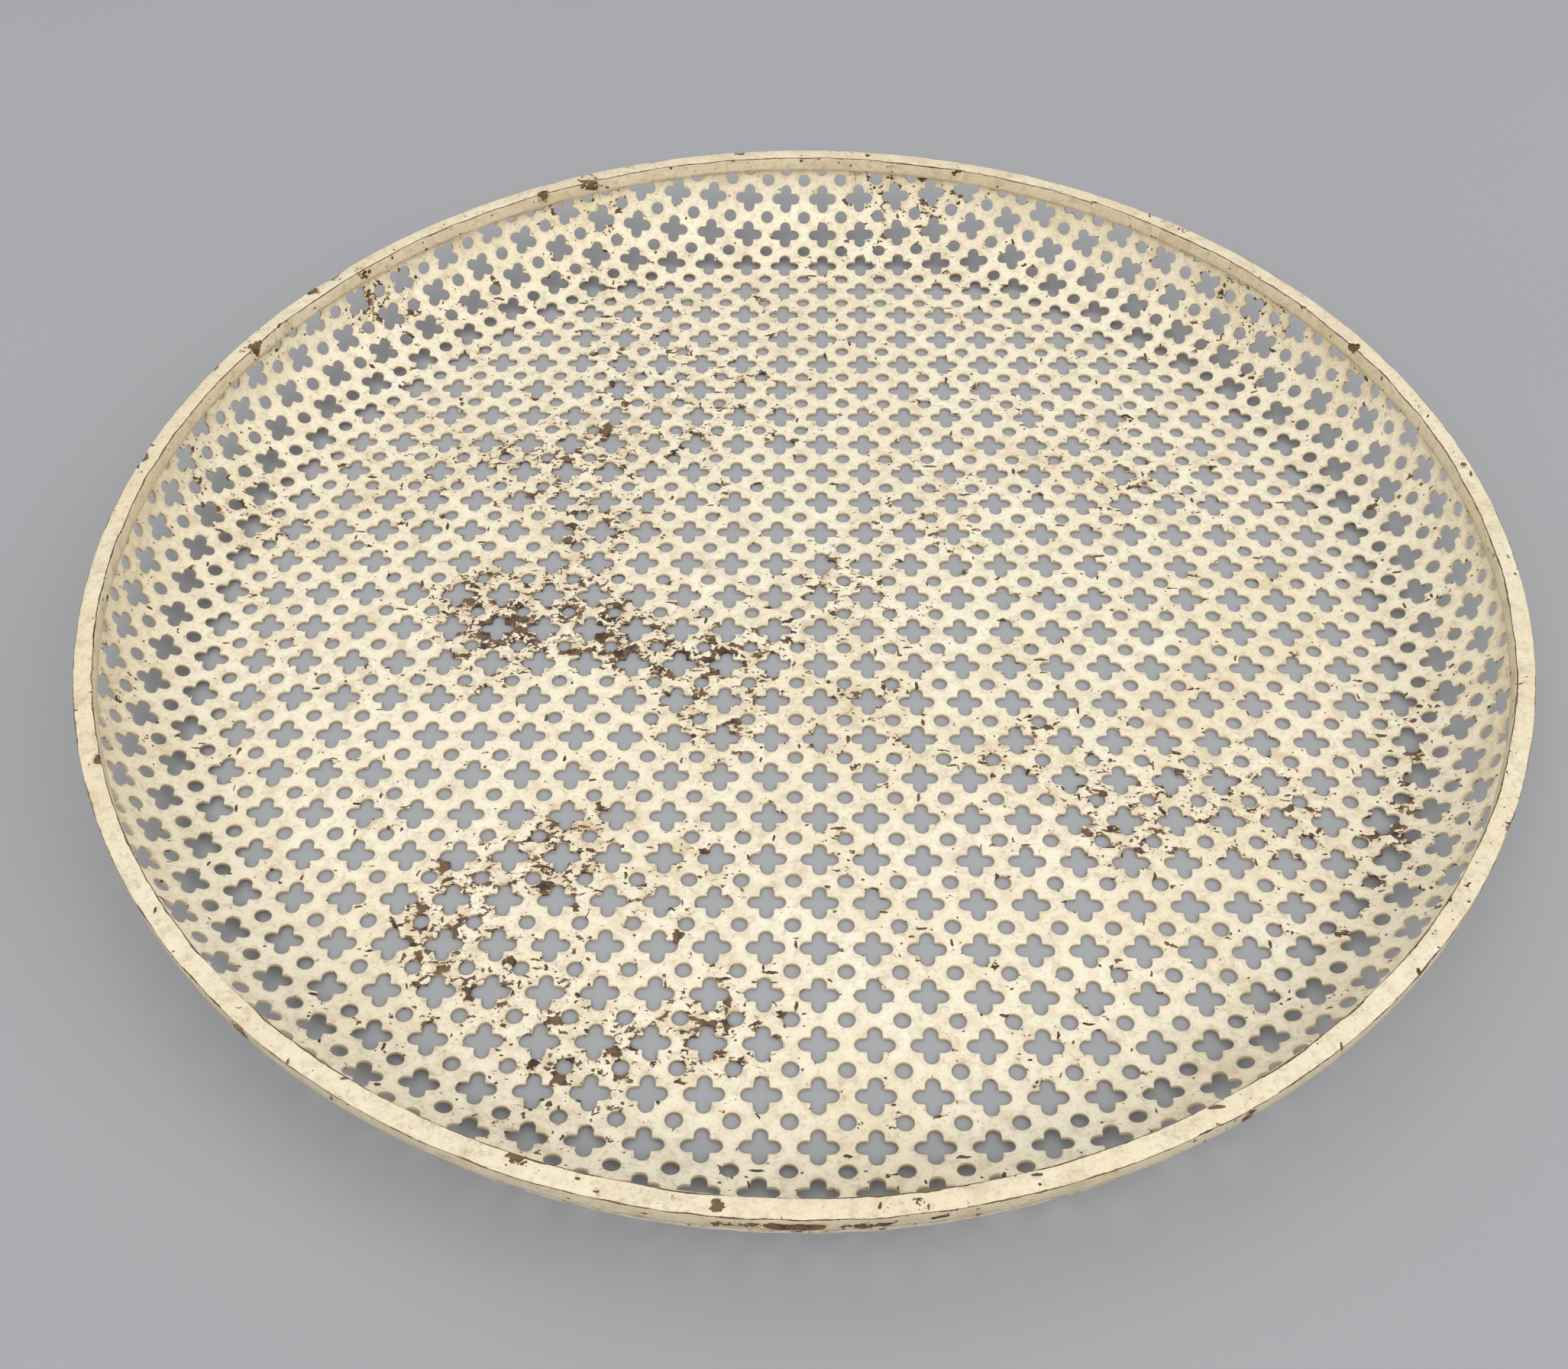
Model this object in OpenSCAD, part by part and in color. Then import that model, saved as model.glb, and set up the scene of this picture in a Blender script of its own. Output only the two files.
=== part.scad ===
// Perforated steel diffuser plate of a hood hair dryer: a shallow flat-bottomed pan
// pressed from perforated sheet, with a hoop of square bar welded on its turned-up edge.
// +Z points up, out of the open side. The origin is the centre of the pan's underside.

/* [Hoop] */
// Outer diameter of the hoop
hoop_d = 371.5; // [371.5:0.1:373]
// Side of the square bar that the hoop is rolled from
bar = 4.76; // [4.5:0.01:5]
// Height of the hoop's top face above the pan's underside
overall_h = 29.8; // [29.6:0.1:31]
// Width of the weld that closes the hoop
butt_weld_w = 1.6; // [1:0.1:3]
// Direction of the closing weld, in degrees from +X
butt_weld_at = 51.4; // [0:0.1:360]

/* [Pan] */
// Thickness of the sheet
sheet = 1.0; // [0.9:0.1:1.1]
// Radius of the flat bottom
flat_r = 151.8; // [151.5:0.1:152]
// Bend radius of the lower part of the wall
lower_bend_r = 42.5; // [42:0.1:43]
// Slope at which the lower bend ends
lower_bend_end = 28; // [27:1:29]
// Bend radius of the upper part of the wall
upper_bend_r = 23.2; // [23:0.1:23.5]
// Slope at which the upper bend ends and the straight lip starts
lip_slope = 75; // [74:1:76]

/* [Perforation] */
// Distance between two quatrefoils along a row
pitch = 12.7; // [12.7:0.1:14]
// Overall width of a quatrefoil
quatrefoil_w = 9.3; // [9:0.1:9.4]
// Width of one lobe of a quatrefoil
lobe_w = 4.0; // [4:0.1:4.4]
// Diameter of the round hole between four quatrefoils
round_hole_d = 4.15; // [3.5:0.05:4.5]
// Place of the quatrefoil nearest the centre, along X
pattern_x = 5.4; // [-6:0.1:6]
// Place of the quatrefoil nearest the centre, along Y
pattern_y = -4.5; // [-6:0.1:6]

/* [Tack welds] */
// Number of tack welds between the hoop and the pan
tack_count = 10; // [6:1:12]
// Direction of the first tack weld, in degrees from +X
first_tack_at = 13; // [0:1:35]
// Length of a tack weld along the hoop
tack_l = 5; // [3:0.5:8]
// Reach of a tack weld from the corner under the hoop
tack_w = 2.4; // [1.5:0.1:2.8]

/* [Hidden] */

cream = [0.89, 0.84, 0.69];
weld_cream = [0.80, 0.71, 0.53];
curve_fn = 96;
hole_fn = 24;

hoop_r = hoop_d / 2;
hoop_bottom = overall_h - bar;

// The middle of the sheet in the (r, z) plane. From the edge of the flat bottom it runs
// along two bends, then along a straight lip up to the hoop's underside.
mid_z = sheet / 2;
lower_centre = [flat_r, mid_z + lower_bend_r];
lower_end = lower_centre + lower_bend_r * [sin(lower_bend_end), -cos(lower_bend_end)];
upper_centre = lower_end - upper_bend_r * [sin(lower_bend_end), -cos(lower_bend_end)];
upper_end = upper_centre + upper_bend_r * [sin(lip_slope), -cos(lip_slope)];
lower_len = lower_bend_r * lower_bend_end * PI / 180;
upper_len = upper_bend_r * (lip_slope - lower_bend_end) * PI / 180;
bends_len = lower_len + upper_len;
lip_len = (hoop_bottom - upper_end.y) / sin(lip_slope);
lip_end = upper_end + lip_len * [cos(lip_slope), sin(lip_slope)];
half_lip_w = sheet / 2 / sin(lip_slope);

// Each bend is drawn as a few cones, one after another
lower_steps = 2;
upper_steps = 2;

grid_n = ceil(flat_r / pitch) + 1;

// Slope of the sheet at distance s along it from the edge of the flat bottom
function slope(s) =
    s < lower_len ? s / lower_bend_r * 180 / PI
    : s < bends_len ? lower_bend_end + (s - lower_len) / upper_bend_r * 180 / PI
    : lip_slope;

// Point at distance s along the sheet, moved by d from its middle towards the inside
function sheet_point(s, d = 0) =
    let (t = slope(s), inwards = [-sin(t), cos(t)])
    s < lower_len ? lower_centre - (lower_bend_r - d) * inwards
    : s < bends_len ? upper_centre - (upper_bend_r - d) * inwards
    : upper_end + (s - bends_len) * [cos(t), sin(t)] + d * inwards;

// Distances along the sheet at which one cone ends and the next begins
bend_stops = concat(
    [for (i = [0 : lower_steps - 1]) lower_len * i / lower_steps],
    [for (i = [0 : upper_steps]) lower_len + upper_len * i / upper_steps]);

// First places of the two square grids of holes
quatrefoils_from = [pattern_x, pattern_y];
round_holes_from = quatrefoils_from + [pitch, pitch] / 2;

// Places where a grid of holes falls, out to a radius
function grid(first, to_r) = [
    for (i = [-grid_n : grid_n], j = [-grid_n : grid_n])
        let (p = first + pitch * [i, j])
            if (norm(p) < to_r) p];

// Inside this radius a hole lies wholly in the flat bottom
holes_to_r = flat_r - quatrefoil_w / 2;

module quatrefoil() {
    square(lobe_w / 2, center = true);
    for (a = [0 : 90 : 270])
        rotate(a)
            translate([(quatrefoil_w - lobe_w) / 2, 0])
                circle(d = lobe_w, $fn = hole_fn);
}

module flat_bottom() {
    linear_extrude(height = sheet) difference() {
        circle(r = flat_r, $fn = curve_fn);
        for (p = grid(quatrefoils_from, holes_to_r)) translate(p) quatrefoil();
        for (p = grid(round_holes_from, holes_to_r)) translate(p) circle(d = round_hole_d, $fn = hole_fn);
    }
}

module wall_section() {
    polygon(concat(
        [for (s = bend_stops) sheet_point(s, -sheet / 2)],
        [lip_end + [half_lip_w, 0], lip_end - [half_lip_w, 0]],
        [for (i = [len(bend_stops) - 1 : -1 : 0]) sheet_point(bend_stops[i], sheet / 2)]));
}

// The bent wall is drawn without its holes.
module wall() {
    rotate_extrude($fn = curve_fn) wall_section();
}

module perforated_pan() {
    color(cream) {
        flat_bottom();
        wall();
    }
}

// A stretch of the hoop's square bar, from one direction to another
module hoop_arc(from, to) {
    rotate(from)
        rotate_extrude(angle = to - from, $fn = curve_fn)
            translate([hoop_r - bar, hoop_bottom]) square(bar);
}

half_gap = butt_weld_w / 2 / (hoop_r - bar / 2) * 180 / PI;

module rim_hoop() {
    color(cream) hoop_arc(butt_weld_at + half_gap, butt_weld_at + 360 - half_gap);
}

module hoop_butt_weld() {
    color(weld_cream) hoop_arc(butt_weld_at - half_gap, butt_weld_at + half_gap);
}

// A bead in the corner between the hoop's underside and the inside of the lip
module tack_section() {
    corner = lip_end - [half_lip_w, 0];
    intersection() {
        translate(corner) circle(r = tack_w, $fn = curve_fn);
        polygon([corner, corner - 2 * tack_w * [1, 0],
                 corner - 2 * tack_w * [cos(lip_slope), sin(lip_slope)]]);
    }
}

module tack_welds() {
    tack_angle = tack_l / hoop_r * 180 / PI;
    color(weld_cream)
        for (i = [0 : tack_count - 1])
            rotate(first_tack_at + i * 360 / tack_count - tack_angle / 2)
                rotate_extrude(angle = tack_angle, $fn = curve_fn) tack_section();
}

perforated_pan();
rim_hoop();
hoop_butt_weld();
tack_welds();
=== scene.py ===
"""Looks of a hood dryer's diffuser plate: a perforated pan and a square-bar hoop in worn cream paint.

Lengths are metres in the part's own frame: +Z up, the origin at the centre of the pan's underside.
"""
import math
import random

import bpy
import numpy as np
from mathutils import Matrix, Vector, noise


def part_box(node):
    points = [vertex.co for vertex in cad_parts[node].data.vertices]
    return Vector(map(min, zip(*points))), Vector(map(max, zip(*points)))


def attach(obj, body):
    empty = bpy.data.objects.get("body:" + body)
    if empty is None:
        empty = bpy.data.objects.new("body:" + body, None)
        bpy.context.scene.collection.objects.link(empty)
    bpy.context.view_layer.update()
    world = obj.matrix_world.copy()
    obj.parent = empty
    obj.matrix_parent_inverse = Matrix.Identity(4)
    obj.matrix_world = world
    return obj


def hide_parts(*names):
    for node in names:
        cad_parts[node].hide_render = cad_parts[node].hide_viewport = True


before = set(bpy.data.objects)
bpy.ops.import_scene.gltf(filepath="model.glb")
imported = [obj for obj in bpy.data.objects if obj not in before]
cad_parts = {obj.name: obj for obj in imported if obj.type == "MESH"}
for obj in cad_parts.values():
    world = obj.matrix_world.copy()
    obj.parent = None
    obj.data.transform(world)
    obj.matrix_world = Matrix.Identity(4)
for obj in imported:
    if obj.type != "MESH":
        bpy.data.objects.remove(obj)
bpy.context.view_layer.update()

MM = 0.001
TINY = 1e-9
BODY = "root"

# ---------------------------------------------------------------- sizes

hoop_low, hoop_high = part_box("rim_hoop")
HOOP_R = max(hoop_high.x, hoop_high.y)
HOOP_TOP = hoop_high.z
HOOP_BOTTOM = hoop_low.z
BAR = HOOP_TOP - HOOP_BOTTOM
HOOP_INSIDE_R = HOOP_R - BAR

# The pan: a flat bottom, a wide bend, a tighter one, and a straight lip. Slopes are from level,
# and DRAW_IN is the pressed wall's length for each length of flat sheet.
SHEET = 1.0 * MM
FLAT_R = 151.8 * MM
LOWER_BEND_R = 42.5 * MM
LOWER_BEND_END = math.radians(28)
UPPER_BEND_R = 23.2 * MM
LIP_SLOPE = math.radians(75)
DRAW_IN = 0.978

# The pattern of holes. A quatrefoil is two crossed slots, whose corners are rounded over a
# spread of angle, and PATTERN is the place of the one nearest the pan's centre.
PITCH = 12.7 * MM
QUATREFOIL_W = 9.3 * MM
ARM_R = 1.73 * MM
ARM_OUT = QUATREFOIL_W / 2 - ARM_R
CUSP_ROUND = 0.14 * MM
CUSP_SPREAD = math.radians(5)
ROUND_HOLE_R = 2.02 * MM
PATTERN = np.array([5.4, -4.5]) * MM

# Welds: directions in degrees
BUTT_WELD_AT = 51.4
BUTT_WELD_W = 1.6 * MM
TACK_COUNT = 10
FIRST_TACK_AT = 13.0
TACK_L = 5.0 * MM

# The rim of every hole, from the underside up through the sheet: how far back from the
# hole's wall, and how high in the sheet
HOLE_RIM = np.array([
    (0.28, 0.0), (0.07, 0.05), (0.0, 0.22), (0.0, 0.80), (0.06, 0.95), (0.28, 1.0)]) * MM
RIM_REACH = HOLE_RIM[0, 0]
# Steps along a straight edge of a cell, round a quarter of a round hole, and round the cutter
EDGE_STEPS = 5
ARC_STEPS = 6
CUTTER_STEPS = 720
# Points of neighbouring cells that round to the same multiple of this are one point
SAME_PLACE = 1e-7
# How fast the stain round a hole fades: at its very edge, and round about
RIM_FADE = 0.10 * MM
ZONE_FADE = 0.9 * MM

# ---------------------------------------------------------------- the pan's shape

LOWER_LEN = LOWER_BEND_R * LOWER_BEND_END
UPPER_LEN = UPPER_BEND_R * (LIP_SLOPE - LOWER_BEND_END)


def bend_point(along, inwards):
    """Radius and height of a point of the sheet: along it from the edge of the flat
    bottom, and inwards from its middle."""
    first = np.clip(along, 0, LOWER_LEN) / LOWER_BEND_R
    second = np.clip(along - LOWER_LEN, 0, UPPER_LEN) / UPPER_BEND_R
    straight = np.clip(along - LOWER_LEN - UPPER_LEN, 0, None)
    slope = first + second
    radius = FLAT_R + np.minimum(along, 0) + LOWER_BEND_R * np.sin(first)
    height = LOWER_BEND_R * (1 - np.cos(first))
    radius += UPPER_BEND_R * (np.sin(slope) - np.sin(first))
    height += UPPER_BEND_R * (np.cos(first) - np.cos(slope))
    radius += straight * np.cos(slope)
    height += straight * np.sin(slope)
    return radius - inwards * np.sin(slope), SHEET / 2 + height + inwards * np.cos(slope)


BENDS_TOP = bend_point(np.array([LOWER_LEN + UPPER_LEN]), 0)[1][0]
LIP_LEN = (HOOP_BOTTOM - BENDS_TOP) / math.sin(LIP_SLOPE)
BLANK_R = FLAT_R + (LOWER_LEN + UPPER_LEN + LIP_LEN) / DRAW_IN
LIP_R = bend_point(np.array([LOWER_LEN + UPPER_LEN + LIP_LEN]), 0)[0][0]


def quatrefoil_radius(angle, back):
    """Distance from a quatrefoil's centre to its outline, moved back into the metal. The
    outline is two crossed slots with round ends, and rounded corners where they meet."""
    turn = np.abs((angle + math.pi / 4) % (math.pi / 2) - math.pi / 4)
    arm = ARM_R + back
    straight = arm / np.sin(np.maximum(turn, TINY))
    inside = np.maximum(arm ** 2 - (ARM_OUT * np.sin(turn)) ** 2, 0)
    end = ARM_OUT * np.cos(turn) + np.sqrt(inside)
    radius = np.where(straight * np.cos(turn) < ARM_OUT, straight, end)
    cusp = (turn - math.pi / 4) / CUSP_SPREAD
    return radius + CUSP_ROUND * np.exp(-cusp ** 2)


def cell_template():
    """One cell of the pattern: a quatrefoil, with a quarter of a round hole in each corner.
    Returns its points, its faces, and the closing face of each of its four sides."""
    half = PITCH / 2
    reach = ROUND_HOLE_R + RIM_REACH
    corner = np.array([half, half])
    up = np.linspace(0, half - reach, EDGE_STEPS + 1)[:-1]
    arc = np.radians(np.linspace(-90, -180, ARC_STEPS + 1))
    arc_way = np.stack([np.cos(arc), np.sin(arc)], 1)
    back = np.linspace(half - reach, 0, EDGE_STEPS + 1)[1:-1]
    quarter = np.concatenate([
        np.stack([np.full(EDGE_STEPS, half), up], 1),
        corner + reach * arc_way,
        np.stack([back, np.full(EDGE_STEPS - 1, half)], 1)])
    turns = [np.array([[c, s], [-s, c]]) for c, s in ((1, 0), (0, 1), (-1, 0), (0, -1))]
    outline = np.concatenate([quarter @ t for t in turns])
    rays = len(outline)
    angle = np.arctan2(outline[:, 1], outline[:, 0])
    way = np.stack([np.cos(angle), np.sin(angle)], 1)

    points = []

    def ring(flat, height):
        first = sum(len(p) for p in points)
        points.append(np.column_stack([flat, np.full(len(flat), height)]))
        return np.arange(first, first + len(flat))

    rim = [ring(way * quatrefoil_radius(angle, b)[:, None], h) for b, h in HOLE_RIM]
    middle = ring((outline + points[-1][:, :2]) / 2, SHEET)
    top = ring(outline, SHEET)
    bottom = ring(outline, 0.0)
    faces = []

    def strip(lower, upper):
        for j in range(rays):
            k = (j + 1) % rays
            faces.append([lower[j], upper[j], upper[k], lower[k]])

    for lower, upper in zip(rim, rim[1:]):
        strip(lower, upper)
    strip(rim[-1], middle)
    strip(middle, top)
    strip(bottom, rim[0])

    columns = []
    for q, turn in enumerate(turns):
        span = (q * rays // 4 + EDGE_STEPS + np.arange(ARC_STEPS + 1)) % rays
        rows = [top[span]]
        for b, h in HOLE_RIM[-2:0:-1]:
            rows.append(ring((corner + (ROUND_HOLE_R + b) * arc_way) @ turn, h))
        rows.append(bottom[span])
        for a, b in zip(rows, rows[1:]):
            for j in range(ARC_STEPS):
                faces.append([a[j + 1], a[j], b[j], b[j + 1]])
        columns.append(([r[0] for r in rows[1:-1]], [r[-1] for r in rows[1:-1]]))

    sides = []
    for q in range(4):
        span = (q * rays // 4 + np.arange(-EDGE_STEPS, EDGE_STEPS + 1)) % rays
        down = columns[q - 1][1]
        climb = columns[q][0][::-1]
        sides.append(list(top[span][::-1]) + list(down) + list(bottom[span]) + list(climb))
    return np.concatenate(points), faces, sides


def perforated_blank():
    """The sheet before it is cut round and bent: a mesh object made of whole cells."""
    points, faces, sides = cell_template()
    reach = int(BLANK_R / PITCH) + 2
    cells = {}
    for i in range(-reach, reach + 1):
        for j in range(-reach, reach + 1):
            centre = PATTERN + PITCH * np.array([i, j])
            if np.hypot(*centre) < BLANK_R + 0.75 * PITCH:
                cells[i, j] = centre
    all_points = np.concatenate([points + np.append(c, 0) for c in cells.values()])
    rounded = np.round(all_points / SAME_PLACE).astype(np.int64)
    _, first, merged = np.unique(rounded, axis=0, return_index=True, return_inverse=True)
    quads = np.array(faces)
    loops = [(quads + n * len(points)).ravel() for n in range(len(cells))]
    sizes = [np.full(len(quads) * len(cells), 4)]
    for n, (i, j) in enumerate(cells):
        for side, (di, dj) in zip(sides, ((1, 0), (0, 1), (-1, 0), (0, -1))):
            if (i + di, j + dj) not in cells:
                loops.append(np.array(side) + n * len(points))
                sizes.append(np.array([len(side)]))
    loops = merged.ravel()[np.concatenate(loops)]
    return mesh_object("blank", all_points[first], loops, np.concatenate(sizes))


def mesh_object(name, points, loops, sizes):
    mesh = bpy.data.meshes.new(name)
    mesh.vertices.add(len(points))
    mesh.vertices.foreach_set("co", np.asarray(points, np.float32).ravel())
    mesh.loops.add(len(loops))
    mesh.loops.foreach_set("vertex_index", np.asarray(loops, np.int32))
    mesh.polygons.add(len(sizes))
    starts = np.concatenate([[0], np.cumsum(sizes)[:-1]])
    mesh.polygons.foreach_set("loop_start", starts.astype(np.int32))
    mesh.polygons.foreach_set("use_smooth", np.ones(len(sizes), bool))
    mesh.update(calc_edges=True)
    mesh.validate()
    obj = bpy.data.objects.new(name, mesh)
    bpy.context.scene.collection.objects.link(obj)
    return obj


def cylinder_object(name, radius, low, high, steps):
    angle = np.linspace(0, 2 * math.pi, steps, endpoint=False)
    rim = np.stack([radius * np.cos(angle), radius * np.sin(angle)], 1)
    points = np.concatenate([np.column_stack([rim, np.full(steps, z)]) for z in (low, high)])
    a = np.arange(steps)
    b = (a + 1) % steps
    walls = np.stack([a, b, b + steps, a + steps], 1).ravel()
    loops = np.concatenate([walls, a[::-1], a + steps])
    return mesh_object(name, points, loops, np.concatenate([np.full(steps, 4), [steps, steps]]))


def cut_round(blank):
    """The blank's mesh, kept only inside a circle."""
    cutter = cylinder_object("cutter", BLANK_R, -5 * SHEET, 6 * SHEET, CUTTER_STEPS)
    cut = blank.modifiers.new("round", "BOOLEAN")
    cut.operation = "INTERSECT"
    cut.solver = "MANIFOLD"
    cut.object = cutter
    depsgraph = bpy.context.evaluated_depsgraph_get()
    mesh = bpy.data.meshes.new_from_object(blank.evaluated_get(depsgraph))
    for obj in (blank, cutter):
        bpy.data.objects.remove(obj)
    return mesh


def to_nearest_hole(flat):
    """How far places on the flat sheet are from the wall of the nearest hole."""
    cell = (flat - PATTERN + PITCH / 2) % PITCH - PITCH / 2
    across = np.sort(np.abs(cell), axis=1)
    past_end = np.clip(across[:, 1] - ARM_OUT, 0, None)
    to_quatrefoil = np.hypot(across[:, 0], past_end) - ARM_R
    to_round = np.hypot(*(np.abs(cell) - PITCH / 2).T) - ROUND_HOLE_R
    return np.clip(np.minimum(to_quatrefoil, to_round), 0, None)


def point_attribute(mesh, name, values):
    made = mesh.attributes.new(name, "FLOAT", "POINT")
    made.data.foreach_set("value", values.astype(np.float32))


def make_pan():
    """The blank bent into the pan. Its points remember where in the sheet they were."""
    mesh = cut_round(perforated_blank())
    co = np.zeros(len(mesh.vertices) * 3, np.float32)
    mesh.vertices.foreach_get("co", co)
    co = co.reshape(-1, 3).astype(float)
    flat = co[:, :2]
    blank_r = np.hypot(flat[:, 0], flat[:, 1])
    past_flat = blank_r - FLAT_R
    along = np.where(past_flat > 0, past_flat * DRAW_IN, past_flat)
    radius, height = bend_point(along, co[:, 2] - SHEET / 2)
    ratio = radius / np.maximum(blank_r, TINY)
    bent = np.column_stack([flat * ratio[:, None], np.minimum(height, HOOP_BOTTOM)])
    mesh.vertices.foreach_set("co", bent.astype(np.float32).ravel())

    near = to_nearest_hole(flat)
    point_attribute(mesh, "hole_rim", np.exp(-near / RIM_FADE))
    point_attribute(mesh, "hole_zone", np.exp(-near / ZONE_FADE))
    point_attribute(mesh, "sheet_level", co[:, 2] / SHEET)
    mesh.update()
    mesh.shade_smooth()
    pan = bpy.data.objects.new("perforated_pan_pressed", mesh)
    bpy.context.scene.collection.objects.link(pan)
    return pan


# ---------------------------------------------------------------- the hoop and its welds

ARRIS_R = 0.35 * MM
ARRIS_STEPS = 3


def bar_section():
    """The square bar's section, with softened arrises: (outwards from its inner face, up)."""
    out = []
    for q, (x, z) in enumerate(((BAR, 0), (BAR, BAR), (0, BAR), (0, 0))):
        middle = (x + (-ARRIS_R if x else ARRIS_R), z + (-ARRIS_R if z else ARRIS_R))
        for s in range(ARRIS_STEPS + 1):
            a = math.radians(q * 90 - 90 + 90 * s / ARRIS_STEPS)
            out.append((middle[0] + ARRIS_R * math.cos(a), middle[1] + ARRIS_R * math.sin(a)))
    return out


def tube(rings):
    """Points, loops and face sizes of a tube through equal rings of points, with flat ends."""
    count = len(rings[0])
    points = [p for ring in rings for p in ring]
    loops, sizes = [], []
    for i in range(len(rings) - 1):
        a, b = i * count, (i + 1) * count
        for j in range(count):
            k = (j + 1) % count
            loops += [a + j, a + k, b + k, b + j]
            sizes.append(4)
    last = len(points) - count
    loops += list(range(count))[::-1] + list(range(last, len(points)))
    sizes += [count, count]
    return points, loops, sizes


def round_the_hoop(r, z, degrees):
    a = math.radians(degrees)
    return Vector((r * math.cos(a), r * math.sin(a), z))


# Nicks in the hoop's arrises: direction in degrees, outer or inner arris, half length in
# degrees, depth in millimetres
NICKS = (
    (27.4, "inner", 0.5, 0.5), (141.5, "outer", 1.6, 0.5), (153.0, "inner", 0.9, 0.6),
    (170.0, "outer", 0.6, 0.4), (204.0, "inner", 0.5, 0.4), (113.5, "inner", 1.2, 0.35),
    (268.5, "outer", 1.8, 0.3), (97.0, "outer", 0.4, 0.3), (331.0, "outer", 0.5, 0.3))
NICK_REACH = 1.2 * MM
HOOP_STEP = 0.25
# How uneven the bar is: how often round the hoop, and how much at its faces and arrises
LUMPS_AROUND, ARRIS_LUMPS_AROUND = 30, 160
LUMPS_OUT, LUMPS_UP, ARRIS_LUMPS = 0.05 * MM, 0.04 * MM, 0.03 * MM


def round_noise(a, often, place):
    """Noise that meets itself after a turn round the hoop."""
    return noise.noise((often * math.cos(a), often * math.sin(a), place))


def nick_depth(degrees, arris):
    depth = 0.0
    for at, where, half, deep in NICKS:
        if where == arris:
            depth += deep * MM * math.exp(-((degrees - at) / half) ** 2)
    return depth


def make_hoop():
    half_gap = math.degrees(BUTT_WELD_W / 2 / (HOOP_R - BAR / 2))
    start = BUTT_WELD_AT + half_gap
    turn = 360 - 2 * half_gap
    steps = round(turn / HOOP_STEP)
    section = bar_section()
    rings = []
    for i in range(steps + 1):
        d = start + turn * i / steps
        a = math.radians(d)
        ring = []
        for x, z in section:
            r = HOOP_INSIDE_R + x
            height = HOOP_BOTTOM + z
            top = max(0.0, 1 - (HOOP_TOP - height) / NICK_REACH)
            outer = top * max(0.0, 1 - (HOOP_R - r) / NICK_REACH)
            inner = top * max(0.0, 1 - (r - HOOP_INSIDE_R) / NICK_REACH)
            cut_out = nick_depth(d % 360, "outer") * outer
            cut_in = nick_depth(d % 360, "inner") * inner
            lumps = round_noise(a, LUMPS_AROUND, 40 * x / BAR + 9 * z / BAR)
            fine = round_noise(a, ARRIS_LUMPS_AROUND, 3 * x / BAR + 5 * z / BAR)
            r += LUMPS_OUT * lumps - cut_out + cut_in + ARRIS_LUMPS * fine * (outer + inner)
            height += LUMPS_UP * lumps - cut_out - cut_in
            ring.append(round_the_hoop(r, min(height, HOOP_TOP), d))
        rings.append(ring)
    return mesh_object("rim_hoop_bar", *tube(rings))


# The butt weld: its width for the gap's, how high its crown stands at the sides, how far its
# ends sink into the bar, how lumpy it is, and how much of it is left on top after grinding
WELD_OVERLAP = 1.5
WELD_STEPS = 14
WELD_CROWN = 0.22 * MM
WELD_SUNK = 0.06 * MM
WELD_LUMPS = 0.6
WELD_LEFT_ON_TOP = 0.02 * MM


def make_butt_weld():
    """The weld that closes the hoop: ground flush on top, and a little proud at the sides."""
    half = math.degrees(BUTT_WELD_W / 2 / (HOOP_R - BAR / 2)) * WELD_OVERLAP
    rings = []
    for i in range(WELD_STEPS + 1):
        share = 2 * i / WELD_STEPS - 1
        d = BUTT_WELD_AT + half * share
        proud = WELD_CROWN * math.sqrt(max(0.0, 1 - share ** 2)) - WELD_SUNK
        ring = []
        for x, z in bar_section():
            out_x = (x - BAR / 2) / (BAR / 2)
            out_z = (z - BAR / 2) / (BAR / 2)
            lump = 1 + WELD_LUMPS * noise.noise((d * 5, x * 900, z * 900))
            r = HOOP_INSIDE_R + x + out_x * proud * lump
            height = HOOP_BOTTOM + z + out_z * proud * lump
            ring.append(round_the_hoop(r, min(height, HOOP_TOP + WELD_LEFT_ON_TOP), d))
        rings.append(ring)
    return mesh_object("hoop_butt_weld_bead", *tube(rings))


# A tack: points round and along it, half its width, its height for its width, where its middle
# is inside and below the lip's edge, and how rippled and lumpy it is
TACK_AROUND, TACK_ALONG = 14, 16
TACK_HALF_W = 1.55 * MM
TACK_FLATTER = 0.85
TACK_INSIDE = 0.9 * MM
TACK_BELOW = 0.5 * MM
TACK_RIPPLE = 0.07
TACK_LUMPS = 0.22
TACK_SEED = 11


def tack_ring(share, middle, half, size, own):
    """One ring of a tack's points, at a share of the way from its middle to an end."""
    girth = size * math.sqrt(max(0.0, 1 - share ** 4)) + 0.02
    wide = TACK_HALF_W * girth * (1 + TACK_RIPPLE * math.cos(share * 9))
    ring = []
    for j in range(TACK_AROUND):
        a = 2 * math.pi * j / TACK_AROUND
        place = (own * 7 + share * 2.2, math.cos(a) * 1.3, math.sin(a) * 1.3)
        reach = wide * (1 + TACK_LUMPS * noise.noise(place))
        r = LIP_R - TACK_INSIDE + reach * math.cos(a)
        z = HOOP_BOTTOM - TACK_BELOW + TACK_FLATTER * reach * math.sin(a)
        ring.append(round_the_hoop(r, z, middle + math.degrees(half * share / LIP_R)))
    return ring


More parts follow.
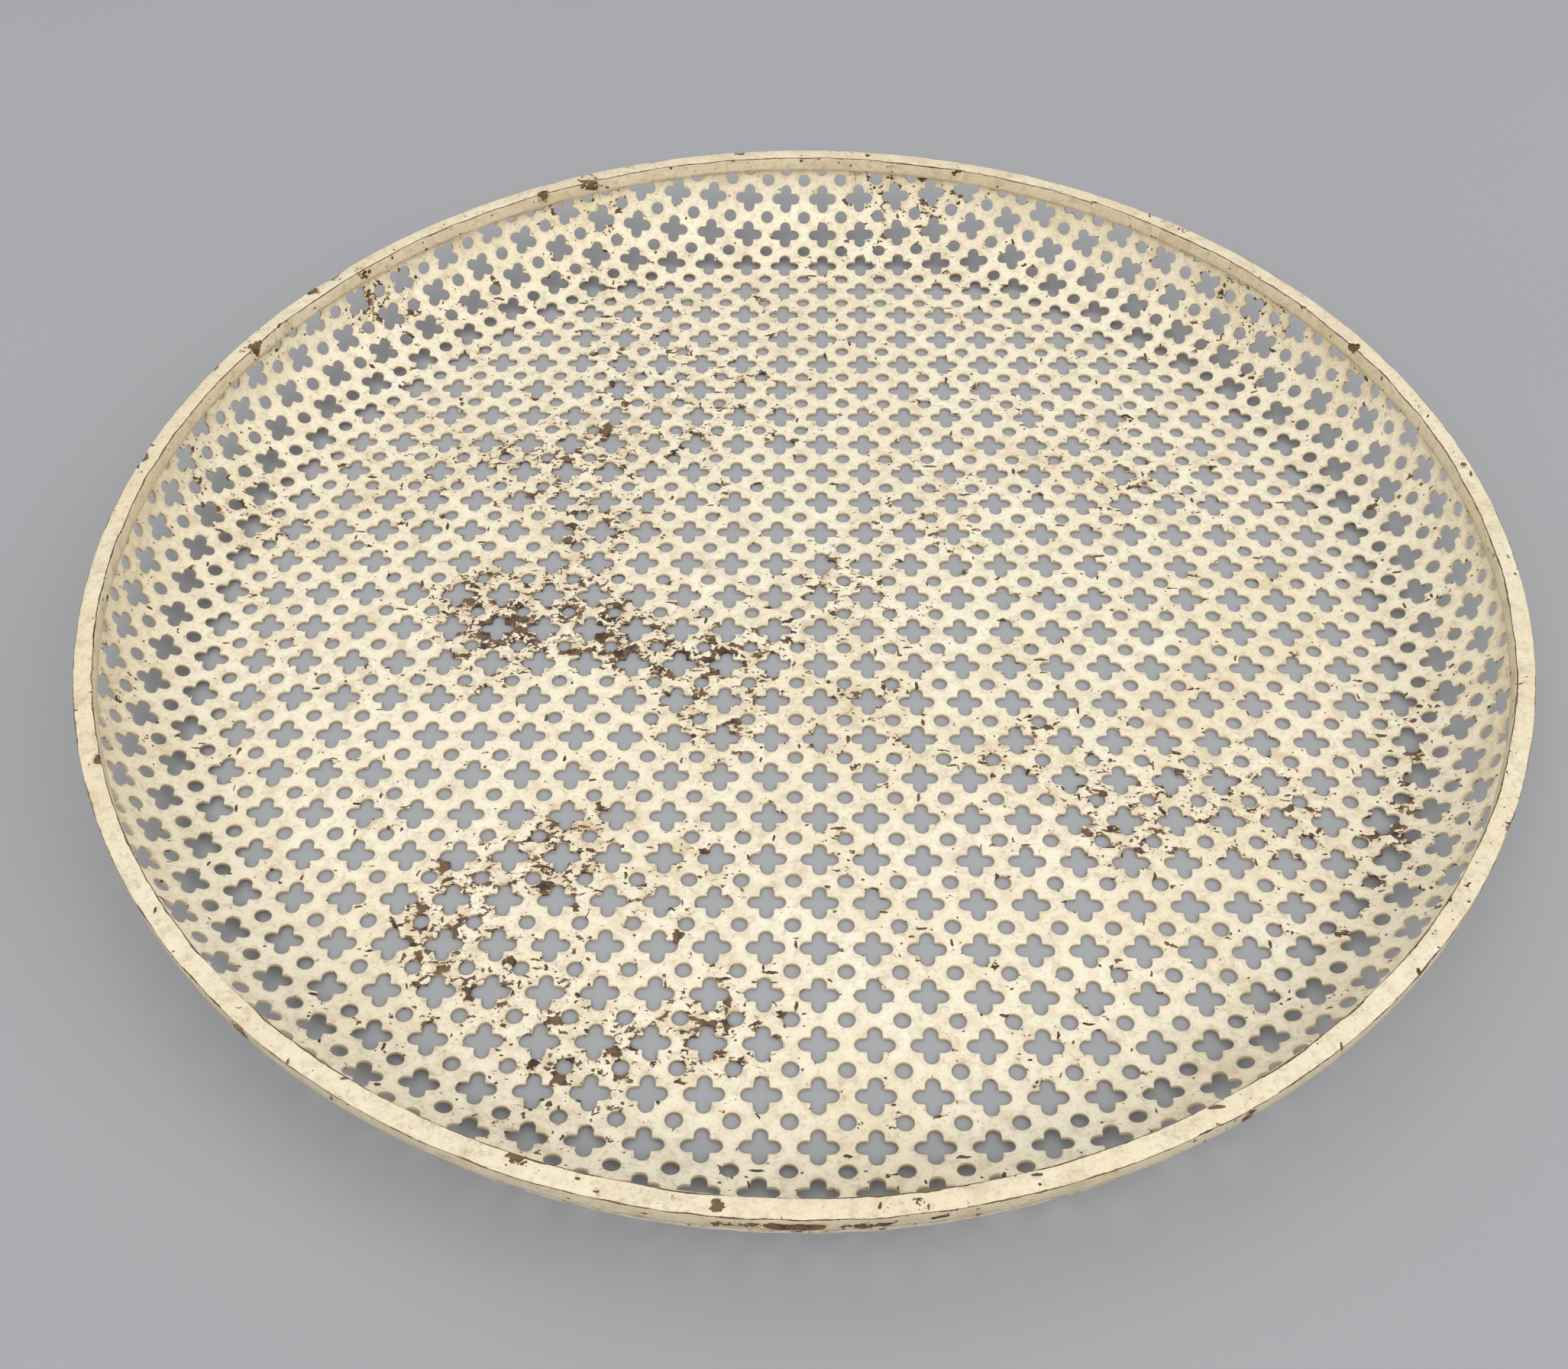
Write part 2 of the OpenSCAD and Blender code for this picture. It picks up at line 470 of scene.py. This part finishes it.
def make_tacks():
    """Lumpy beads in the corner between the hoop's underside and the inside of the lip."""
    rng = random.Random(TACK_SEED)
    points, loops, sizes = [], [], []
    for t in range(TACK_COUNT):
        middle = FIRST_TACK_AT + t * 360 / TACK_COUNT
        half = TACK_L / 2 * rng.uniform(0.85, 1.1)
        size = rng.uniform(0.85, 1.1)
        rings = [tack_ring(2 * i / TACK_ALONG - 1, middle, half, size, t)
                 for i in range(TACK_ALONG + 1)]
        ring_points, ring_loops, ring_sizes = tube(rings)
        loops += [len(points) + n for n in ring_loops]
        points += ring_points
        sizes += ring_sizes
    return mesh_object("tack_weld_beads", points, loops, sizes)


# ---------------------------------------------------------------- materials


class Graph:
    """A material's node tree, with short calls for the nodes used here."""

    def __init__(self, name):
        self.material = bpy.data.materials.new(name)
        self.material.use_nodes = True
        self.tree = self.material.node_tree
        self.tree.nodes.clear()
        self.place = self.node("ShaderNodeTexCoord").outputs["Object"]

    def node(self, kind, inputs=None, **settings):
        made = self.tree.nodes.new(kind)
        for key, value in settings.items():
            setattr(made, key, value)
        for key, value in (inputs or {}).items():
            self.put(made.inputs[key], value)
        return made

    def put(self, socket, value):
        if isinstance(value, bpy.types.NodeSocket):
            self.tree.links.new(value, socket)
        elif socket.type == "RGBA" and len(value) == 3:
            socket.default_value = (*value, 1)
        else:
            socket.default_value = value

    def math(self, operation, a, b=0.0, clamp=False):
        made = self.node("ShaderNodeMath", {0: a, 1: b}, operation=operation, use_clamp=clamp)
        return made.outputs[0]

    def vector(self, operation, a, b):
        return self.node("ShaderNodeVectorMath", {0: a, 1: b}, operation=operation)

    def mix(self, factor, a, b):
        made = self.node("ShaderNodeMix", data_type="RGBA")
        self.put(made.inputs["Factor"], factor)
        self.put(made.inputs[6], a)
        self.put(made.inputs[7], b)
        return made.outputs[2]

    def tint(self, colour, tint, *shares):
        """The colour, tinted as far as the product of the shares."""
        share = shares[0]
        for other in shares[1:]:
            share = self.math("MULTIPLY", share, other)
        return self.mix(share, colour, tint)

    def noise(self, scale, detail=2.0, rough=0.5, where=None):
        made = self.node("ShaderNodeTexNoise", {
            "Vector": where or self.place, "Scale": scale, "Detail": detail, "Roughness": rough})
        return made.outputs["Fac"]

    def ramp(self, value, low, high, to_low=0.0, to_high=1.0):
        made = self.node("ShaderNodeMapRange", {
            "Value": value, "From Min": low, "From Max": high,
            "To Min": to_low, "To Max": to_high}, interpolation_type="SMOOTHSTEP")
        return made.outputs[0]

    def blotches(self, noise, levels, shares=(0.0, 1.0)):
        """Noise (its scale, detail and roughness) as a share that grows between two levels."""
        return self.ramp(self.noise(*noise), *levels, *shares)

    def attribute(self, name):
        return self.node("ShaderNodeAttribute", attribute_name=name).outputs["Fac"]

    def wobbled(self, scale, reach):
        """The place, pushed about by noise, so that what is drawn there has ragged edges."""
        push = self.node("ShaderNodeTexNoise", {
            "Vector": self.place, "Scale": scale, "Detail": 5.0}).outputs["Color"]
        centred = self.vector("SUBTRACT", push, (0.5, 0.5, 0.5)).outputs[0]
        scaled = self.node("ShaderNodeVectorMath", {0: centred, "Scale": reach}, operation="SCALE")
        return self.vector("ADD", self.place, scaled.outputs[0]).outputs[0]

    def patches(self, spots):
        """A field that is strong in a few worn places and falls off round each."""
        total = 0.0
        for centre, radius, strength in spots:
            away = self.vector("DISTANCE", self.place, centre).outputs["Value"]
            total = self.math("ADD", total, self.ramp(away, radius, radius * 0.15, 0.0, strength))
        return total


CREAM = (0.84, 0.775, 0.61)
CREAM_WARM = (0.78, 0.69, 0.49)
CREAM_PALE = (0.87, 0.825, 0.69)
CREAM_GREY = (0.60, 0.53, 0.39)
TAN = (0.50, 0.365, 0.20)
CRUST = (0.36, 0.21, 0.085)
GREY_BROWN = (0.33, 0.27, 0.19)
CHIP_DARK = (0.040, 0.022, 0.012)
CHIP_BROWN = (0.150, 0.088, 0.044)
RUST = (0.42, 0.205, 0.055)
HOLE_WALL = (0.55, 0.43, 0.27)
# Painted shade at the foot of the holes' walls
HOLE_FOOT_SHADE = (0.040, 0.028, 0.018)
# What the cream is multiplied by: on the hoop, and on the pan's wall, where it is painted light that
# makes the wall look brighter
AGED = (0.91, 0.875, 0.82)
WALL_PAINTED_LIGHT = (1.09, 1.09, 1.08)

# Mottling of the cream, from broad to fine: the noise's scale, detail and roughness, the levels
# where the layer starts and is full, its greatest share, and its colour
MOTTLING = (
    ((13.0, 4.0, 0.60), (0.42, 0.72), 0.80, CREAM_WARM),
    ((34.0, 3.0, 0.50), (0.50, 0.72), 0.70, CREAM_PALE),
    ((230.0, 6.0, 0.68), (0.47, 0.68), 0.52, CREAM_GREY),
    ((80.0, 9.0, 0.76), (0.51, 0.72), 0.58, TAN),
    ((620.0, 4.0, 0.64), (0.50, 0.68), 0.34, GREY_BROWN),
    ((1700.0, 2.0, 0.60), (0.56, 0.72), 0.24, GREY_BROWN))

# Worn places of the pan: centre in millimetres, radius in millimetres, strength
PAN_WEAR = (
    ((-90, 4, 1), 26, 0.20), ((-82, -14, 1), 22, 0.12), ((-62, -4, 1), 26, 0.16),
    ((-38, -12, 1), 26, 0.17), ((-13, -14, 1), 22, 0.17), ((-24, -38, 1), 26, 0.14),
    ((8, 10, 1), 24, 0.15), ((-60, 14, 1), 18, 0.10), ((-62, 34, 1), 30, 0.11),
    ((-72, 62, 1), 30, 0.12), ((14, -34, 1), 30, 0.08), ((-60, -80, 1), 24, 0.19),
    ((-82, -86, 1), 18, 0.12), ((-84, -106, 1), 26, 0.17), ((-50, -132, 1), 38, 0.13),
    ((-18, -129, 1), 22, 0.13), ((-26, -86, 1), 22, 0.12), ((86, -66, 1), 32, 0.13),
    ((58, -50, 1), 22, 0.12), ((120, -60, 1), 30, 0.11), ((146, -80, 10), 26, 0.10),
    ((160, -34, 8), 22, 0.09), ((-132, 119, 20), 20, 0.20), ((-120, 108, 9), 26, 0.05),
    ((-160, 40, 10), 30, 0.12), ((137, 112, 20), 30, 0.12), ((-44, 96, 1), 64, 0.10),
    ((36, 40, 1), 40, 0.08), ((-110, 60, 1), 40, 0.08), ((90, 60, 1), 40, 0.07),
    ((30, 165, 20), 40, 0.11), ((-70, 155, 20), 34, 0.11))
# A worn streak along the pan's bend: directions in degrees, its radius and height from the
# pan's centre, its reach (millimetres) and its strength
STREAK = range(-38, -14, 3)
STREAK_AT = (164.3, 3.0)
STREAK_REACH = 4.5
STREAK_STRENGTH = 0.26
# Rust spots of the pan: centre and radius in millimetres, strength
PAN_RUST = (
    ((-56, -72, 1), 6, 1.0), ((-60, -66, 1), 4, 0.8), ((124, -61, 1), 4, 1.0),
    ((52, -46, 1), 5, 0.6), ((-46, -88, 1), 4, 0.7), ((70, 62, 1), 8, 0.5),
    ((-92, 70, 1), 7, 0.4), ((30, 100, 1), 7, 0.35), ((-20, -128, 1), 5, 0.5))


def hoop_spots(spots):
    """Worn places of the hoop: direction, face, reach and strength, as places in the frame."""
    faces = {
        "outer": (HOOP_R, HOOP_TOP), "inner": (HOOP_INSIDE_R, HOOP_TOP),
        "top": (HOOP_R - BAR / 2, HOOP_TOP), "wall": (HOOP_R, HOOP_BOTTOM + BAR * 0.4)}
    return [(round_the_hoop(*faces[face], degrees), reach * MM, strength)
            for degrees, face, reach, strength in spots]


# Worn places of the hoop: direction in degrees, face or arris, reach in millimetres, strength
HOOP_WEAR = (
    (10, "top", 2, 0.4), (27.4, "inner", 3, 0.5), (50, "outer", 4, 0.3), (97, "outer", 3, 0.4),
    (113, "inner", 7, 0.3), (118, "inner", 5, 0.3), (139, "inner", 4, 0.17),
    (141.5, "outer", 4, 0.3), (144.5, "outer", 3.5, 0.3), (153.3, "inner", 3.6, 0.42),
    (154.6, "top", 3, 0.2), (170, "outer", 3, 0.4), (204, "inner", 3, 0.5),
    (231, "wall", 5, 0.3), (252.5, "inner", 4, 0.45), (265.5, "top", 2.5, 0.5),
    (278, "top", 2.5, 0.22), (300, "wall", 4, 0.3), (331, "outer", 3, 0.4))
# Long chips along the hoop's outside: first and last direction in degrees, reach, strength
LONG_CHIPS = ((265.4, 269.0, 1.9, 0.22), (269.0, 271.6, 2.4, 0.28), (273.0, 276.2, 1.7, 0.22))
LONG_CHIP_STEP = 0.4


def long_chips():
    """Overlapping spots in a row for each long chip."""
    spots = []
    for first, last, reach, strength in LONG_CHIPS:
        for step in range(round((last - first) / LONG_CHIP_STEP) + 1):
            spots.append((first + step * LONG_CHIP_STEP, "wall", reach, strength))
    return spots


def in_metres(spots):
    return [(tuple(c * MM for c in centre), radius * MM, strength)
            for centre, radius, strength in spots]


# Flakes: the scales of their cells, how these are wobbled and stretched, how much a worn place
# loosens them, how firmly the noise and each cell's own hold keep them on, how soft their
# edges are, and how far the stain reaches past those
FLAKE_CELLS = (430.0, 1050.0)
FLAKE_WOBBLE = (380.0, 3.0 * MM)
FLAKE_STRETCH = (0.72, 1.0, 1.0)
LOOSENED = 1.25
HELD_FROM, HELD_BY_NOISE, HELD_BY_CELL = 0.25, 1.3, 0.35
FLAKE_EDGE = 0.008
STAIN_REACH = 0.09


def flakes(g, field, spread):
    """Cells of a broken pattern where the wear outweighs each cell's own hold, and the
    stained paint round them."""
    where = g.vector("MULTIPLY", g.wobbled(*FLAKE_WOBBLE), FLAKE_STRETCH).outputs[0]
    worn = g.math("ADD", g.math("MULTIPLY", field, LOOSENED), spread)
    chips, stained = 0.0, 0.0
    for scale in FLAKE_CELLS:
        cell = g.node("ShaderNodeTexVoronoi", {"Vector": where, "Scale": scale})
        own = g.node("ShaderNodeSeparateColor", {0: cell.outputs["Color"]}).outputs[0]
        grip = g.math("SUBTRACT", g.noise(scale * 0.62, 2.5, 0.6, where), HELD_FROM)
        grip = g.math("MULTIPLY", grip, HELD_BY_NOISE)
        hold = g.math("ADD", grip, g.math("MULTIPLY", own, HELD_BY_CELL))
        loose = g.math("SUBTRACT", worn, hold)
        chips = g.math("MAXIMUM", chips, g.ramp(loose, -FLAKE_EDGE, FLAKE_EDGE))
        stained = g.math("MAXIMUM", stained, g.ramp(loose, -STAIN_REACH, 0.0))
    return chips, stained


# Short marks, lying two ways or no way: the scale of their cells, how the cells are stretched,
# and a shift that keeps the three kinds apart. Then their wobble, least and greatest size, soft
# edge, and how many more of them a worn place has.
FLECK_KINDS = (
    (300.0, (0.36, 1.6, 1.0), 2.0), (330.0, (1.5, 0.5, 1.0), 7.0), (620.0, (0.8, 1.1, 1.0), 5.0))
FLECK_WOBBLE = (260.0, 2.6 * MM)
FLECK_SIZES = (0.07, 0.24)
FLECK_EDGE = (-0.01, 0.03)
FLECKS_IN_WEAR = 1.6


def flecks(g, field, share):
    """Short dark marks in a share of the cells of a grid, and in more of them where worn."""
    total = 0.0
    for scale, stretch, shift in FLECK_KINDS:
        where = g.vector("ADD", g.wobbled(*FLECK_WOBBLE), (shift, -shift, shift)).outputs[0]
        where = g.vector("MULTIPLY", where, stretch).outputs[0]
        cell = g.node("ShaderNodeTexVoronoi", {"Vector": where, "Scale": scale})
        own = g.node("ShaderNodeSeparateColor", {0: cell.outputs["Color"]})
        size = g.ramp(own.outputs[1], 0.0, 1.0, *FLECK_SIZES)
        mark = g.ramp(g.math("SUBTRACT", size, cell.outputs["Distance"]), *FLECK_EDGE)
        wanted = g.math("ADD", g.math("MULTIPLY", field, FLECKS_IN_WEAR), share)
        there = g.math("GREATER_THAN", wanted, own.outputs[0])
        total = g.math("MAXIMUM", total, g.math("MULTIPLY", mark, there))
    return total


# How much more of the mottling's tan a wholly dirty piece has
DIRT_IN_TAN = 0.3


def mottled_cream(g, field, dirty):
    """The cream with its mottling, and more tan where the paint is worn."""
    colour = CREAM
    for noise_kind, levels, most, tint in MOTTLING:
        if tint is TAN:
            most += DIRT_IN_TAN * dirty
        colour = g.mix(g.blotches(noise_kind, levels, (0.0, most)), colour, tint)
    return g.tint(colour, TAN, g.ramp(field, 0.01, 0.16, 0.0, 0.45),
                  g.blotches((190.0, 6.0, 0.72), (0.45, 0.66)))


def pan_wall_light_and_stains(g, colour, z):
    """Painted light: the pan's wall made paler so that it looks more brightly lit; and tan crusts
    round the holes.
    """
    wall_painted_paler = g.vector("MULTIPLY", colour, WALL_PAINTED_LIGHT).outputs[0]
    colour = g.mix(g.ramp(z, 1.5 * MM, 12 * MM), colour, wall_painted_paler)
    return g.tint(colour, TAN, g.attribute("hole_zone"),
                  g.blotches((95.0, 6.0, 0.7), (0.42, 0.70), (0.06, 0.5)))


def hoop_stains_and_side_shade(g, colour, radius, y):
    """Yellower paint on the hoop, tan on its outside that is partly stain and partly painted shade of
    that side face, and tan on its far half (+Y).
    """
    # The outer face's tan is partly painted shade
    outside = g.ramp(radius, HOOP_R - 0.5 * MM, HOOP_R - 0.1 * MM, 0.0, 0.26)
    aged = g.vector("MULTIPLY", colour, AGED).outputs[0]
    return g.tint(g.mix(outside, aged, TAN), TAN, g.ramp(y, 0.0, HOOP_R, 0.0, 0.28),
                  g.blotches((70.0, 6.0, 0.7), (0.38, 0.66)))


def seam_crust_and_shade(g, colour, z):
    """A brown band at the seam where the hoop meets the pan: partly crust, partly painted shade of
    the joint.
    """
    away = g.math("ABSOLUTE", g.math("SUBTRACT", z, HOOP_BOTTOM))
    return g.tint(colour, CRUST, g.ramp(away, 1.3 * MM, 0.1 * MM),
                  g.blotches((120.0, 6.0, 0.7), (0.30, 0.68), (0.15, 1.0)), 0.8)


def rust_stain(g, colour, rust):
    """Ragged orange stains at the rust spots."""
    halo = g.math("MULTIPLY", g.blotches((260.0, 6.0, 0.7), (0.44, 0.60)), g.patches(rust), True)
    return g.tint(colour, RUST, halo, 0.9)


def hole_walls(g, colour):
    """The holes' own walls: tan, and darkened at the foot with painted shade, towards the sheet's
    underside.
    """
    level = g.ramp(g.attribute("sheet_level"), 0.03, 0.26)
    return g.tint(colour, g.mix(level, HOLE_FOOT_SHADE, HOLE_WALL), g.attribute("hole_rim"),
                  g.blotches((140.0, 4.0, 0.5), (0.2, 0.7), (0.7, 1.0)))


def fleck_share(g, y):
    """How many cells have a fleck: groups of them, more towards the near side (-Y)."""
    groups = g.math("MULTIPLY", g.blotches((50.0, 2.0, 0.5), (0.50, 0.66)),
                    g.ramp(y, 140 * MM, -10 * MM, 0.22, 0.42))
    return g.math("ADD", groups, 0.05)


def painted_surface(g, colour, chips):
    """Old gloss over the colour: uneven, rougher in the chips, which lie lower."""
    rough = g.blotches((90.0, 4.0, 0.6), (0.3, 0.7), (0.34, 0.56))
    rough = g.math("ADD", rough, g.math("MULTIPLY", chips, 0.3), True)
    height = g.math("MULTIPLY", chips, -0.16)
    for scale, detail, roughness, share in ((650.0, 3.0, 0.55, 0.05), (120.0, 2.0, 0.5, 0.10)):
        ripple = g.math("MULTIPLY", g.noise(scale, detail, roughness), share)
        height = g.math("ADD", height, ripple)
    bump = g.node("ShaderNodeBump", {"Height": height, "Distance": MM, "Strength": 0.85})
    shader = g.node("ShaderNodeBsdfPrincipled", {
        "Base Color": colour, "Roughness": rough, "Normal": bump.outputs[0], "IOR": 1.48,
        "Coat Weight": 0.08, "Coat Roughness": 0.3})
    g.node("ShaderNodeOutputMaterial", {"Surface": shader.outputs[0]})


def paint(name, wear=(), rust=(), hoop=False, dirty=0.0):
    """Old cream gloss over dark brown: yellowed, mottled, chipped in flakes, crusted and painted with
    shade at seams.
    """
    g = Graph(name)
    x, y, z = g.node("ShaderNodeSeparateXYZ", {0: g.place}).outputs
    radius = g.math("SQRT", g.math("ADD", g.math("MULTIPLY", x, x), g.math("MULTIPLY", y, y)))
    field = g.patches(wear)
    spread = g.blotches((48.0, 5.0, 0.7), (0.40, 0.72), (0.072, 0.18))
    colour = mottled_cream(g, field, dirty)
    if not hoop:
        colour = pan_wall_light_and_stains(g, colour, z)
        spread = g.math("ADD", spread, g.math("MULTIPLY", g.attribute("hole_zone"), 0.06))
    colour = seam_crust_and_shade(g, colour, z)
    if hoop:
        colour = hoop_stains_and_side_shade(g, colour, radius, y)
    if rust:
        colour = rust_stain(g, colour, rust)

    chips, stained = flakes(g, field, spread)
    colour = g.tint(colour, CRUST, stained,
                    g.blotches((150.0, 5.0, 0.5), (0.35, 0.65), (0.1, 0.6)))
    chips = g.math("MAXIMUM", chips, flecks(g, field, fleck_share(g, y)))
    if hoop:
        chips = g.math("MAXIMUM", chips, arris_cracks(g, radius, z))
    else:
        colour = hole_walls(g, colour)
    if dirty:
        colour = g.tint(colour, TAN, g.blotches((190.0, 5.0, 0.7), (0.35, 0.7), (0.1, dirty)))
    bare = g.mix(g.blotches((300.0, 4.0, 0.7), (0.36, 0.58)), CHIP_DARK, CHIP_BROWN)
    painted_surface(g, g.mix(chips, colour, bare), chips)
    return g.material


# The cracks along the hoop's top arrises: which way is into the bar, a shift that keeps them
# apart, how far they wander out of and into the bar, and their least half width
CRACKS = (
    (HOOP_INSIDE_R, 1, 3.0, -0.35 * MM, 0.45 * MM, 0.16 * MM),
    (HOOP_R, -1, 11.0, -0.35 * MM, 0.30 * MM, 0.09 * MM))
CRACK_WIDEST = 0.32 * MM


def arris_cracks(g, radius, z):
    """A hairline where the paint has split along both top arrises of the hoop."""
    below = g.math("SUBTRACT", HOOP_TOP, z)
    total = 0.0
    for edge, sign, shift, low, high, thin in CRACKS:
        along = g.vector("ADD", g.place, (shift, shift, shift)).outputs[0]
        wander = g.ramp(g.noise(70.0, 4.0, 0.6, along), 0.25, 0.75, low, high)
        in_from = g.math("MULTIPLY", g.math("SUBTRACT", radius, edge), sign)
        across = g.math("SUBTRACT", in_from, below)
        off = g.math("ABSOLUTE", g.math("SUBTRACT", across, wander))
        wide = g.ramp(g.noise(210.0, 4.0, 0.7, along), 0.38, 0.72, thin, CRACK_WIDEST)
        line = g.ramp(g.math("SUBTRACT", wide, off), -0.03 * MM, 0.05 * MM)
        near = g.ramp(g.math("ADD", g.math("ABSOLUTE", in_from), below), 1.6 * MM, 1.2 * MM)
        total = g.math("MAXIMUM", total, g.math("MULTIPLY", line, near))
    return total


# The floor fades out between these distances from the plate, and lies just below it. It is dark
# there, so what is nearer to it than the gap gets a light of this strength from it instead.
FLOOR_FADES = (1.6, 6.0)
FLOOR_DROP = 0.1 * MM
UNDERSIDE_GAP = 0.4 * MM
UNDERSIDE_LIGHT = 0.42
FLOOR_GREYS = ((0.315, 0.325, 0.345), (0.34, 0.35, 0.37))


def floor_material():
    """Matt paper that fades into the backdrop and can't be seen from below."""
    g = Graph("pale_floor")
    colour = g.mix(g.noise(3.0, 3.0), *FLOOR_GREYS)
    matt = g.node("ShaderNodeBsdfPrincipled", {"Base Color": colour, "Roughness": 0.85})
    lit = g.node("ShaderNodeEmission", {"Strength": UNDERSIDE_LIGHT})
    ray = g.node("ShaderNodeLightPath").outputs["Ray Length"]
    touching = g.math("LESS_THAN", ray, UNDERSIDE_GAP)
    paper = g.node("ShaderNodeMixShader", {0: touching, 1: matt.outputs[0], 2: lit.outputs[0]})
    clear = g.node("ShaderNodeBsdfTransparent")
    under = g.node("ShaderNodeNewGeometry").outputs["Backfacing"]
    away = g.vector("LENGTH", g.place, (0, 0, 0)).outputs["Value"]
    hidden = g.math("MAXIMUM", under, g.ramp(away, *FLOOR_FADES))
    both = g.node("ShaderNodeMixShader", {0: hidden, 1: paper.outputs[0], 2: clear.outputs[0]})
    g.node("ShaderNodeOutputMaterial", {"Surface": both.outputs[0]})
    g.material.cycles.emission_sampling = "NONE"
    return g.material


# ---------------------------------------------------------------- the assembled plate


def finish_piece(obj, node, material):
    obj.data.materials.clear()
    obj.data.materials.append(material)
    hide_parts(node)
    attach(obj, BODY)


hoop_wear = hoop_spots(HOOP_WEAR) + hoop_spots(long_chips())
streak = [(round_the_hoop(*STREAK_AT, degrees), STREAK_REACH, STREAK_STRENGTH)
          for degrees in STREAK]
pan_wear = in_metres(list(PAN_WEAR) + streak)
finish_piece(make_pan(), "perforated_pan",
             paint("pan_cream_paint", pan_wear, in_metres(PAN_RUST)))
finish_piece(make_hoop(), "rim_hoop",
             paint("hoop_cream_paint", hoop_wear, hoop=True))
finish_piece(make_butt_weld(), "hoop_butt_weld",
             paint("butt_weld_paint", hoop=True, dirty=0.5))
finish_piece(make_tacks(), "tack_welds",
             paint("tack_weld_paint", hoop=True, dirty=0.8))

# ---------------------------------------------------------------- floor, light and camera


def make_floor():
    half = FLOOR_FADES[1]
    points = [(x * half, y * half, -FLOOR_DROP) for x, y in ((-1, -1), (1, -1), (1, 1), (-1, 1))]
    floor = mesh_object("floor", points, [0, 1, 2, 3], [4])
    floor.data.materials.append(floor_material())


# Soft lights: name, place in metres, diameter in metres, power in watts, colour
LIGHTS = (
    ("key", (-0.55, -1.80, 2.10), 2.1, 30.0, (1.0, 0.985, 0.96)),
    ("fill", (1.70, -0.70, 1.80), 1.9, 18.0, (0.98, 0.99, 1.0)),
    ("top", (-0.40, 0.90, 2.60), 1.9, 11.0, (1.0, 1.0, 1.0)))
WORLD_COLOUR = (1.0, 0.99, 0.97, 1)
WORLD_STRENGTH = 0.66


def area_light(name, at, size, power, colour):
    light = bpy.data.lights.new(name, "AREA")
    light.shape = "DISK"
    light.size = size
    light.energy = power
    light.color = colour
    obj = bpy.data.objects.new(name, light)
    obj.location = at
    obj.rotation_euler = (-Vector(at)).to_track_quat("-Z", "Y").to_euler()
    bpy.context.scene.collection.objects.link(obj)


def make_world():
    world = bpy.data.worlds.new("studio")
    world.use_nodes = True
    backdrop = world.node_tree.nodes["Background"]
    backdrop.inputs["Color"].default_value = WORLD_COLOUR
    backdrop.inputs["Strength"].default_value = WORLD_STRENGTH
    bpy.context.scene.world = world


# The camera's place, and how far it looks down, turns from +Y and rolls
CAMERA_AT = Vector((3.5, -325.0, 350.8)) * MM
CAMERA_DOWN = math.radians(49.31)
CAMERA_TURN = math.radians(-1.49)
CAMERA_ROLL = math.radians(-0.67)
CAMERA_LENS = 39.71


def make_camera():
    data = bpy.data.cameras.new("camera")
    data.lens = CAMERA_LENS
    data.sensor_width = 36.0
    data.sensor_fit = "HORIZONTAL"
    data.clip_start = 0.01
    data.clip_end = 50
    camera = bpy.data.objects.new("camera", data)
    flat = Vector((math.sin(CAMERA_TURN), math.cos(CAMERA_TURN), 0))
    forward = flat * math.cos(CAMERA_DOWN) - Vector((0, 0, math.sin(CAMERA_DOWN)))
    right = forward.cross(Vector((0, 0, 1))).normalized()
    up = right.cross(forward)
    roll = Matrix.Rotation(CAMERA_ROLL, 3, forward)
    right, up = roll.inverted() @ right, roll.inverted() @ up
    turn = Matrix((right, up, -forward)).transposed()
    camera.matrix_world = Matrix.Translation(CAMERA_AT) @ turn.to_4x4()
    bpy.context.scene.collection.objects.link(camera)
    bpy.context.scene.camera = camera


make_floor()
make_world()
for light in LIGHTS:
    area_light(*light)
make_camera()
bpy.context.scene.view_settings.view_transform = "Standard"
